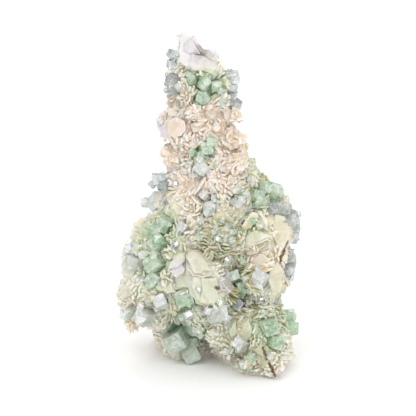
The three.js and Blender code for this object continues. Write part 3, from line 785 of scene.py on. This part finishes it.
# %% Grow the large blades
UNSEEN = 36  # large blades on the sides that the photo doesn't show
UNSEEN_CORNERS = [(-0.5, 0), (-0.42, 0.7), (-0.1, 1), (0.3, 0.94), (0.5, 0.6), (0.44, 0)]
PLATE_RINGS = ((0.0, None), (0.35, 0.0), (1.0, 0.05))  # depth and inset; None is the blade's rim
chance = random.Random(SEED)


def turned_by(angle, x, y):
    return x * math.cos(angle) - y * math.sin(angle), x * math.sin(angle) + y * math.cos(angle)


def plate_seen(outline, side, front, facing, thickness, shrink, rim):
    """A plate whose outline is seen from a side, with its front face through the front point."""
    sight = -heading(side, VIEW_RISE)
    corners = []
    for across, up in outline:
        eye = eye_at(across, up, side)
        corners.append(eye + sight * ((front - eye).dot(facing) / sight.dot(facing)))
    centre = sum(corners, Vector()) / len(corners)
    pairs = zip(corners, corners[1:] + corners[:1])
    if sum((a - centre).cross(b - centre).dot(facing) for a, b in pairs) < 0:
        corners.reverse()
    corners = [centre + (c - centre) * (1 - shrink) for c in corners]
    points = []
    for down, inset in PLATE_RINGS:
        inset = rim if inset is None else inset
        points += [c + (centre - c) * inset - facing * thickness * down for c in corners]
    return points


def ragged(outline):
    """The outline with two points added along each side, a little off the straight line."""
    made = []
    for (ax, ay), (bx, by) in zip(outline, outline[1:] + outline[:1]):
        made.append((ax, ay))
        run, climb = bx - ax, by - ay
        for share in (0.33, 0.66):
            along = share + chance.uniform(-0.1, 0.1)
            off = chance.uniform(-0.1, 0.1)
            made.append((ax + run * along + climb * off, ay + climb * along - run * off))
    return made


def unseen_blades():
    """Large blades in twos and threes on the sides that the photo doesn't show."""
    made = []
    while len(made) < UNSEEN:
        side = chance.uniform(75, 285)
        across, up = chance.uniform(-24, 24), chance.uniform(14, 150)
        if seen_from(side, across, up) is None:
            continue
        turn = chance.uniform(0, math.pi)
        for _ in range(chance.choice((2, 3))):
            turn += chance.uniform(0.3, 0.8)
            long, wide = chance.uniform(10, 15), chance.uniform(6, 9)
            outline = []
            for x, y in UNSEEN_CORNERS:
                x, y = turned_by(turn, x * wide, y * long)
                outline.append((across + x, up + y))
            if seen_from(side, *np.mean(outline, axis=0)) is None:
                continue
            face = (side + chance.uniform(-30, 30), chance.uniform(5, 40))
            made.append((side, face, 0.8, 3.5, 3, 0.1, outline))
    return made


def large_blades(rows):
    points, faces, tint, edge = [], [], [], []
    for side, face, out, thick, plates, rim, outline in rows:
        facing = heading(*face)
        middle = np.mean(outline, axis=0)
        anchor = seen_from(side, *middle) + facing * out * MM
        thickness = thick * MM
        for plate in range(plates):
            behind = plates - 1 - plate  # how many plates are still to come in front of this one
            spin = math.radians(chance.uniform(-6, 6)) * (behind > 0)
            shift = [chance.uniform(-0.7, 0.7) * (behind > 0) for _ in range(2)]
            corners = list(outline)
            for _ in range(min(behind, len(outline) - 4)):
                corners.pop(chance.randrange(len(corners)))
            moved = []
            for across, up in corners:
                x, y = turned_by(spin, across - middle[0], up - middle[1])
                moved.append((middle[0] + x + shift[0], middle[1] + y + shift[1]))
            moved = ragged(moved)
            shrink = 0.07 * behind + chance.uniform(-0.02, 0.03)
            front = anchor - facing * (thickness * plate / plates)
            rim_here = rim if behind else rim * 0.6
            start = len(points)
            points += plate_seen(moved, side, front, facing, thickness / plates, shrink, rim_here)
            faces += [tuple(start + c for c in f) for f in blade_faces(len(moved))]
            tint += [chance.uniform(0.25, 0.85)] * (len(points) - start)
            edge += edge_values(len(moved))
    values = {"reach": [1.0] * len(points), "tint": tint, "edge": edge}
    return mesh_of("stilbite_large_blades", points, faces, stilbite_large, values)


unseen = unseen_blades()
large = in_scene("stilbite_large_blades", large_blades([(0, *b) for b in LARGE_BLADES] + unseen))
print("large blades on the other sides:", len(unseen), "faces in all:", len(large.data.polygons))

# %% [markdown]
# ## Keep the crystals and sheaves clear
# The small blades must not grow through the crystals or on the large blades. One hidden mesh holds
# all of those, and the trees below drop every point that lies too close to it.


# %% One mesh to keep clear of
def joined(name, meshes):
    whole = bmesh.new()
    for mesh in meshes:
        whole.from_mesh(mesh)
    made = bpy.data.meshes.new(name)
    whole.to_mesh(made)
    whole.free()
    return made


obstacles = in_scene("obstacles", joined("obstacles", [o.data for o in (*crystals, large)]))
print("faces to keep clear of:", len(obstacles.data.polygons))

# %% [markdown]
# ## The tree that grows the blades
# Points are spread over the crust. A second, wider set of points holds the middles of rosettes:
# every blade leans away from its rosette's focus, a little below the surface, and the blades of a
# rosette share the way their broad faces look, as the pages of a book do. Each blade is scaled
# from a variant that is 1 metre long, sunk into the crust, and left out where it would be cut.

# %% Blade tree
SUNK = 0.63  # how much of a blade's length lies under the crust's surface
FOCUS = -0.55  # how far a rosette's focus lies out of the surface, as a share of the length
UPRIGHT = 0.25  # how much a blade leans the way the surface looks
OUTWARDS = 1.1  # how much its broad face is turned the way the surface looks
AHEAD = 0.55  # how much of its length has to be free ahead of the surface
TIP = 0.6  # how far its tip is from the surface at most, as a share of the length
OVER_FLOOR = 1.5  # a blade with an end lower than this is left out


def blade_tree():
    sizes = ("Lowest", "Highest", "Spacing", "Rosette Spacing", "Length", "Clearance")
    inputs = {"Blades": "Collection", "Keep Clear": "Object", **dict.fromkeys(sizes, "Float")}
    inputs.update({"Seed": "Int", "Material": "Material"})
    tree, given = new_tree("grow_blades", inputs)
    where = add(tree, "GeometryNodeInputPosition")
    height = add(tree, "ShaderNodeSeparateXYZ", {0: where}).outputs["Z"]
    spread, middles = (
        add(
            tree,
            "GeometryNodeDistributePointsOnFaces",
            {
                "Mesh": given["Geometry"],
                "Distance Min": given[spacing],
                "Density Max": densest,
                "Seed": given["Seed"],
            },
            distribute_method="POISSON",
        )
        for spacing, densest in (("Spacing", 2e6), ("Rosette Spacing", 1e5))
    )
    page, tilt, stray, stray_page = (
        add(
            tree,
            "FunctionNodeRandomValue",
            {0: (-most, -most, -most), 1: (most, most, most), "Seed": seed},
            data_type="FLOAT_VECTOR",
        )
        for most, seed in ((1.0, given["Seed"]), (0.9, 14), (0.3, 5), (0.3, 6))
    )
    longer, wide, thick, shade = (
        add(tree, "FunctionNodeRandomValue", {2: least, 3: most, "Seed": seed})
        for least, most, seed in ((0.65, 1.3, 7), (0.3, 0.52, 8), (0.1, 0.18, 9), (0.0, 1.0, 10))
    )

    # what the blades of one rosette share: its focus, the way their faces look, and a tilt
    depth = add(tree, "ShaderNodeMath", {0: given["Length"], 1: FOCUS}, operation="MULTIPLY")
    below = {0: middles.outputs["Normal"], "Scale": depth}
    below = add(tree, "ShaderNodeVectorMath", below, operation="SCALE")
    focus = add(tree, "ShaderNodeVectorMath", {0: where, 1: below}, operation="ADD")
    nearest = add(tree, "GeometryNodeSampleNearest", {"Geometry": middles})
    focus, page, tilt = (
        add(
            tree,
            "GeometryNodeSampleIndex",
            {"Geometry": middles, "Value": value, "Index": nearest},
            data_type="FLOAT_VECTOR",
        )
        for value in (focus, page, tilt)
    )

    # the way a blade points, and the way its broad face looks
    away = add(tree, "ShaderNodeVectorMath", {0: where, 1: focus}, operation="SUBTRACT")
    lean = add(tree, "ShaderNodeVectorMath", {0: away}, operation="NORMALIZE")
    upright, outwards = (
        add(
            tree,
            "ShaderNodeVectorMath",
            {0: spread.outputs["Normal"], "Scale": share},
            operation="SCALE",
        )
        for share in (UPRIGHT, OUTWARDS)
    )
    for part in (upright, tilt, stray):
        lean = add(tree, "ShaderNodeVectorMath", {0: lean, 1: part}, operation="ADD")
    for part in (stray_page, outwards):
        page = add(tree, "ShaderNodeVectorMath", {0: page, 1: part}, operation="ADD")
    aimed = add(tree, "FunctionNodeAlignRotationToVector", {"Vector": lean}, axis="Z")
    turned = add(
        tree,
        "FunctionNodeAlignRotationToVector",
        {"Rotation": aimed, "Vector": page},
        axis="Y",
        pivot_axis="Z",
    )

    # the blades that are left out: cut by a crystal, outside the band, or through the floor
    length = {0: given["Length"], 1: longer}
    length = add(tree, "ShaderNodeMath", length, operation="MULTIPLY")
    straight = add(tree, "ShaderNodeVectorMath", {0: lean}, operation="NORMALIZE")
    rise = add(tree, "ShaderNodeSeparateXYZ", {0: straight}).outputs["Z"]
    ends = {}
    for row, share in enumerate((TIP, -SUNK)):
        reach = add(tree, "ShaderNodeMath", {0: length, 1: share}, operation="MULTIPLY")
        end = {0: rise, 1: reach, 2: height}
        ends[row] = add(tree, "ShaderNodeMath", end, operation="MULTIPLY_ADD")
    lowest_end = add(tree, "ShaderNodeMath", ends, operation="MINIMUM")
    blocks = add(tree, "GeometryNodeObjectInfo", {"Object": given["Keep Clear"]})
    blocks = blocks.outputs["Geometry"]
    near = add(tree, "GeometryNodeProximity", {0: blocks}, target_element="FACES")
    free = {
        "Target Geometry": blocks,
        "Source Position": where,
        "Ray Direction": lean,
        "Ray Length": add(tree, "ShaderNodeMath", {0: length, 1: AHEAD}, operation="MULTIPLY"),
    }
    dropped = add(tree, "GeometryNodeRaycast", free).outputs["Is Hit"]
    for value, limit, how in (
        (near.outputs["Distance"], given["Clearance"], "LESS_THAN"),
        (height, given["Lowest"], "LESS_THAN"),
        (height, given["Highest"], "GREATER_THAN"),
        (lowest_end, OVER_FLOOR * MM, "LESS_THAN"),
    ):
        reason = add(tree, "FunctionNodeCompare", {"A": value, "B": limit}, operation=how)
        dropped = add(tree, "FunctionNodeBooleanMath", {0: dropped, 1: reason}, operation="OR")
    wanted = add(tree, "FunctionNodeBooleanMath", {0: dropped}, operation="NOT")

    # the blades themselves
    shape = add(tree, "ShaderNodeCombineXYZ", {0: wide, 1: thick, 2: 1.0})
    size = add(tree, "ShaderNodeVectorMath", {0: shape, "Scale": length}, operation="SCALE")
    blades = {"Collection": given["Blades"], "Separate Children": True, "Reset Children": True}
    placed = add(
        tree,
        "GeometryNodeInstanceOnPoints",
        {
            "Points": spread,
            "Selection": wanted,
            "Instance": add(tree, "GeometryNodeCollectionInfo", blades),
            "Pick Instance": True,
            "Rotation": turned,
            "Scale": size,
        },
    )
    sunk = {"Instances": placed, "Translation": (0, 0, -SUNK), "Local Space": True}
    sunk = add(tree, "GeometryNodeTranslateInstances", sunk)
    tinted = {"Geometry": sunk, "Name": "tint", "Value": shade}
    tinted = add(tree, "GeometryNodeStoreNamedAttribute", tinted, domain="INSTANCE")
    return end_tree(tree, given, tinted)


grow_blades = blade_tree()


# %% Grow the blades, one piece for each band of height
BLADES = {
    "Blades": variants,
    "Keep Clear": obstacles,
    "Spacing": 1.5 * MM,
    "Rosette Spacing": 9.0 * MM,
    "Length": 7.5 * MM,
    "Clearance": 0.7 * MM,
    "Seed": SEED,
    "Material": stilbite,
}
crust_pieces = []
for band, lowest, highest in (
    ("spire", 112, 158),
    ("waist", 78, 112),
    ("shoulder", 44, 78),
    ("base", 1.2, 44),
):
    values = {**BLADES, "Lowest": lowest * MM, "Highest": highest * MM}
    name = "stilbite_" + band + "_blades"
    crust_pieces.append(grown(name, stilbite_crust.data, grow_blades, values))

# %% [markdown]
# ## Small apophyllite crystals
# Between the blades sit many small crystals: square prisms with cut corners. Most of them cluster
# around the middles of the green and olive places, so the tree keeps only points close to one of
# those. With a very long reach it keeps them all, for the few between the others and for the
# crystals that perch on the larger ones.

# %% Crystal variants
CORNER = 0.2  # how much of a corner is cut off, as a share of the crystal's width


def cut_prism(width, height):
    """A square prism whose eight corners are cut, with its middle at the origin."""
    bm = bmesh.new()
    half = (width / 2, width / 2, height / 2)
    for corner in range(8):
        signs = [1 if corner >> axis & 1 else -1 for axis in range(3)]
        for axis in range(3):
            point = [s * h for s, h in zip(signs, half)]
            point[axis] -= signs[axis] * CORNER * 2 * half[axis]
            bm.verts.new(point)
    bmesh.ops.convex_hull(bm, input=bm.verts)
    bmesh.ops.dissolve_limit(bm, angle_limit=0.02, verts=bm.verts, edges=bm.edges)
    bmesh.ops.recalc_face_normals(bm, faces=bm.faces)
    mesh = bpy.data.meshes.new("crystal")
    bm.to_mesh(mesh)
    bm.free()
    return mesh


crystal_variants = bpy.data.collections.new("crystal_variants")
for title, width, height in (("cube", 1.0, 1.0), ("block", 0.9, 1.3), ("tablet", 1.1, 0.7)):
    variant = bpy.data.objects.new("crystal_" + title, cut_prism(width, height))
    crystal_variants.objects.link(variant)

# %% Crystal tree
APART = 0.45  # how far a crystal's middle stays from what it keeps clear of, in crystal sizes
LIFTED = 0.9  # how far it stays above the floor, in crystal sizes


def crystal_tree():
    inputs = {"Crystals": "Collection", "Keep Clear": "Object", "Around": "Object"}
    inputs.update(dict.fromkeys(("Reach", "Spacing", "Smallest", "Largest"), "Float"))
    inputs.update({"Seed": "Int", "Material": "Material"})
    tree, given = new_tree("scatter_crystals", inputs)
    spread = add(
        tree,
        "GeometryNodeDistributePointsOnFaces",
        {
            "Mesh": given["Geometry"],
            "Distance Min": given["Spacing"],
            "Density Max": 4e5,
            "Seed": given["Seed"],
        },
        distribute_method="POISSON",
    )
    distances = []
    for title, element in (("Keep Clear", "FACES"), ("Around", "POINTS")):
        other = add(tree, "GeometryNodeObjectInfo", {"Object": given[title]}).outputs["Geometry"]
        near = add(tree, "GeometryNodeProximity", {0: other}, target_element=element)
        distances.append(near.outputs["Distance"])
    where = add(tree, "GeometryNodeInputPosition")
    height = add(tree, "ShaderNodeSeparateXYZ", {0: where}).outputs["Z"]
    size = {2: given["Smallest"], 3: given["Largest"], "Seed": 3}
    size = add(tree, "FunctionNodeRandomValue", size)
    wander = add(tree, "FunctionNodeRandomValue", {2: 0.4, 3: 1.0, "Seed": 4})
    wanted = True
    for value, first, second, how in (
        (distances[0], size, APART, "GREATER_THAN"),
        (height, size, LIFTED, "GREATER_THAN"),
        (distances[1], given["Reach"], wander, "LESS_THAN"),
    ):
        limit = add(tree, "ShaderNodeMath", {0: first, 1: second}, operation="MULTIPLY")
        fits = add(tree, "FunctionNodeCompare", {"A": value, "B": limit}, operation=how)
        wanted = add(tree, "FunctionNodeBooleanMath", {0: wanted, 1: fits}, operation="AND")
    turn = {0: (0.0, 0.0, 0.0), 1: (math.tau, math.tau, math.tau), "Seed": 5}
    shapes = {"Collection": given["Crystals"], "Separate Children": True, "Reset Children": True}
    placed = add(
        tree,
        "GeometryNodeInstanceOnPoints",
        {
            "Points": spread,
            "Selection": wanted,
            "Instance": add(tree, "GeometryNodeCollectionInfo", shapes),
            "Pick Instance": True,
            "Rotation": add(tree, "FunctionNodeRandomValue", turn, data_type="FLOAT_VECTOR"),
            "Scale": size,
        },
    )
    return end_tree(tree, given, placed)


scatter_crystals = crystal_tree()

# %% Scatter the small crystals
EVERYWHERE = 400  # a reach that takes in the whole specimen
SCATTERS = (  # name, seed, reach, spacing, largest and slot; the perched ones sit on crystals
    ("small_green", 21, 17, 4.0, 4.2, "apophyllite_green"),
    ("small_pale", 22, 20, 4.5, 4.2, "apophyllite_pale"),
    ("small_sparse", 23, EVERYWHERE, 7.0, 3.6, "apophyllite_pale"),
    ("perched_green", 24, EVERYWHERE, 8.5, 4.4, "apophyllite_green"),
    ("perched_pale", 25, EVERYWHERE, 8.5, 4.4, "apophyllite_pale"),
    ("perched_clear", 26, EVERYWHERE, 8.0, 3.6, "apophyllite_clear"),
)
middles = bpy.data.meshes.new("green_middles")
middles.from_pydata([[c * MM for c in row[0]] for row in GREEN_PLACES + OLIVE_AND_HOLLOW_SHADE_PLACES], [], [])
green_middles = in_scene("green_middles", middles)
for title, seed, reach, spacing, largest, slot in SCATTERS:
    perched = title.startswith("perched")
    hosts = [c.data for c in crystals if SLOTS[c.name] == slot]
    made = grown(
        "apophyllite_" + title,
        joined("hosts", hosts) if perched else stilbite_crust.data,
        scatter_crystals,
        {
            "Crystals": crystal_variants,
            "Keep Clear": large if perched else obstacles,
            "Around": green_middles,
            "Reach": reach * MM,
            "Spacing": spacing * MM,
            "Smallest": 1.6 * MM,
            "Largest": largest * MM,
            "Seed": seed,
            "Material": GLASS[slot],
        },
    )
    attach(made, "root")
bpy.data.objects.remove(green_middles)

# %% [markdown]
# ## Crystals that catch the light
# A few small crystals in the photo flash white, because a face of theirs is turned half way between
# the eye and a lamp. Each one is put where it is seen, with a top of two growth steps: the upper,
# smaller one is turned that way, and the lower one a little off it, so it frames the flash.

# %% Crystals that catch the light
GLINT_LAMP = ((24, 38), 1.2)  # direction and distance of the small bright lamp
LAMP_AIM = Vector((0, 0, 80)) * MM
FLASHES = (  # across, up, width, length and spin in degrees
    (0.5, 87.9, 3.8, 3.0, 12),
    (17.0, 92.6, 2.4, 4.0, 20),
    (-10.5, 80.0, 2.6, 3.0, 40),
    (-17.0, 69.7, 2.4, 2.4, 10),
    (4.4, 72.3, 2.4, 3.2, 65),
    (-23.5, 40.5, 4.6, 6.0, 28),
    (-10.5, 33.0, 5.0, 4.2, 18),
    (-5.5, 46.0, 1.8, 2.6, 50),
    (-17.5, 101.0, 2.4, 2.8, 15),
    (40.0, 18.7, 2.6, 3.6, 75),
    (9.0, 61.5, 1.8, 2.4, 33),
    (27.0, 41.0, 2.4, 2.0, 5),
)
FLASH_DEPTH = 5.0
FLASH_STEPS = ((1.0, 6.0, 1.0), (0.66, 0.0, 1.5))  # share of the size, tilt in degrees and rise


def flashing_crystals():
    """Two prisms for each flash, one for each step of its top."""
    prisms = []
    lamp_at = LAMP_AIM + heading(*GLINT_LAMP[0]) * GLINT_LAMP[1]
    for across, up, width, length, spin in FLASHES:
        point = seen_from(0, across, up)
        facing = (heading(0, VIEW_RISE) + (lamp_at - point).normalized()).normalized()
        turn = facing.to_track_quat("Z", "Y").to_matrix().to_4x4()
        turn = turn @ Matrix.Rotation(math.radians(spin), 4, "Z")
        for share, tilt, rise in FLASH_STEPS:
            tilted = turn @ Matrix.Rotation(math.radians(tilt), 4, "X")
            size = (width * share * MM, length * share * MM, FLASH_DEPTH * MM, 1.0)
            place = Matrix.Translation(point + facing * rise * MM) @ tilted
            prisms.append(cut_prism(1.0, 1.0))
            prisms[-1].transform(place @ Matrix.Diagonal(size))
    return joined("apophyllite_bright_faces", prisms)


bright = in_scene("apophyllite_bright_faces", flashing_crystals())
bright.data.materials.append(GLASS["apophyllite_pale"])
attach(bright, "root")
print("crystals that catch the light:", len(FLASHES), "faces:", len(bright.data.polygons))

# %% [markdown]
# ## Hand the pieces to the frame
# The frame has to know which body each new piece rides on, and that the new crust takes the place
# of the CAD's plain solid.

# %% Pieces and bodies
bpy.data.objects.remove(obstacles)
for piece in (stilbite_crust, large, *crust_pieces):
    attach(piece, "root")
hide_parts("stilbite_mass")

# %% [markdown]
# ## Studio
# The photo has a plain white ground and soft light from above and the left. The world is white to
# the camera, and dimmer towards the horizon for everything else, so that the clear crystals have
# something darker to bend into their edges.


# %% Floor, world and lamps
def floor():
    mesh = bpy.data.meshes.new("floor")
    mesh.from_pydata([(-4, -4, 0), (4, -4, 0), (4, 4, 0), (-4, 4, 0)], [], [(0, 1, 2, 3)])
    material, tree = new_material("white_board")
    board = add(tree, "ShaderNodeBsdfPrincipled", {"Base Color": "#FFFFFF", "Roughness": 0.8})
    add(tree, "ShaderNodeOutputMaterial", {"Surface": board})
    mesh.materials.append(material)
    in_scene("floor", mesh)


def lamp(name, direction, distance, size, power):
    """A square lamp with a side in metres and a power in watts, aimed at the specimen."""
    light = bpy.data.lights.new(name, "AREA")
    light.size = size
    light.energy = power
    made = in_scene(name, light)
    made.location = LAMP_AIM + heading(*direction) * distance
    made.rotation_mode = "QUATERNION"
    made.rotation_quaternion = heading(*direction).to_track_quat("Z", "Y")


def world():
    made = bpy.data.worlds.new("studio")
    bpy.context.scene.world = made
    made.use_nodes = True
    tree = made.node_tree
    tree.nodes.clear()
    direction = add(tree, "ShaderNodeTexCoord").outputs["Generated"]
    height = add(tree, "ShaderNodeSeparateXYZ", {0: direction}).outputs["Z"]
    sky = add(tree, "ShaderNodeMapRange", {"Value": height, 1: 0.0, 2: 0.6, 3: 0.5, 4: 1.0})
    camera_ray = add(tree, "ShaderNodeLightPath").outputs["Is Camera Ray"]
    strength = add(tree, "ShaderNodeMix", {0: camera_ray, 2: sky, 3: 1.0}, data_type="FLOAT")
    white = add(tree, "ShaderNodeBackground", {"Color": "#FFFFFF", "Strength": strength})
    add(tree, "ShaderNodeOutputWorld", {"Surface": white})


floor()
world()
lamp("key", (-30, 50), 1.2, 0.4, 1.8)
lamp("fill", (14, 24), 1.5, 1.5, 3.2)
lamp("glint", *GLINT_LAMP, 0.12, 0.9)
lamp("back", (180, 40), 1.3, 0.8, 2.4)
bpy.context.scene.view_settings.view_transform = "Standard"

# %% [markdown]
# ## Camera
# The photo was taken with a long lens, a little from above. The lens and the distance together
# give a picture that is as wide, in millimetres at the specimen, as the photo is.

# %% Set up the camera
LENS = 400.0
SENSOR = 36.0  # the width of the camera's sensor, which is Blender's default
PHOTO_WIDTH = 216.0  # what the photo spans at the specimen
PHOTO_MIDDLE = 88.9  # the height of the picture's middle above the front of the foot
camera_data = bpy.data.cameras.new("camera")
camera_data.lens = LENS
camera_data.clip_end = 20
camera = in_scene("camera", camera_data)
rise = math.radians(VIEW_RISE)
picture_up = Vector((0, math.sin(rise), math.cos(rise)))
aim_at = Vector((0, FRONT_FOOT * MM, 0)) + picture_up * PHOTO_MIDDLE * MM
camera.location = aim_at + heading(0, VIEW_RISE) * (LENS / SENSOR * PHOTO_WIDTH * MM)
camera.rotation_mode = "QUATERNION"
camera.rotation_quaternion = heading(0, VIEW_RISE).to_track_quat("Z", "Y")
bpy.context.scene.camera = camera
print("camera at:", [round(v, 3) for v in camera.location])
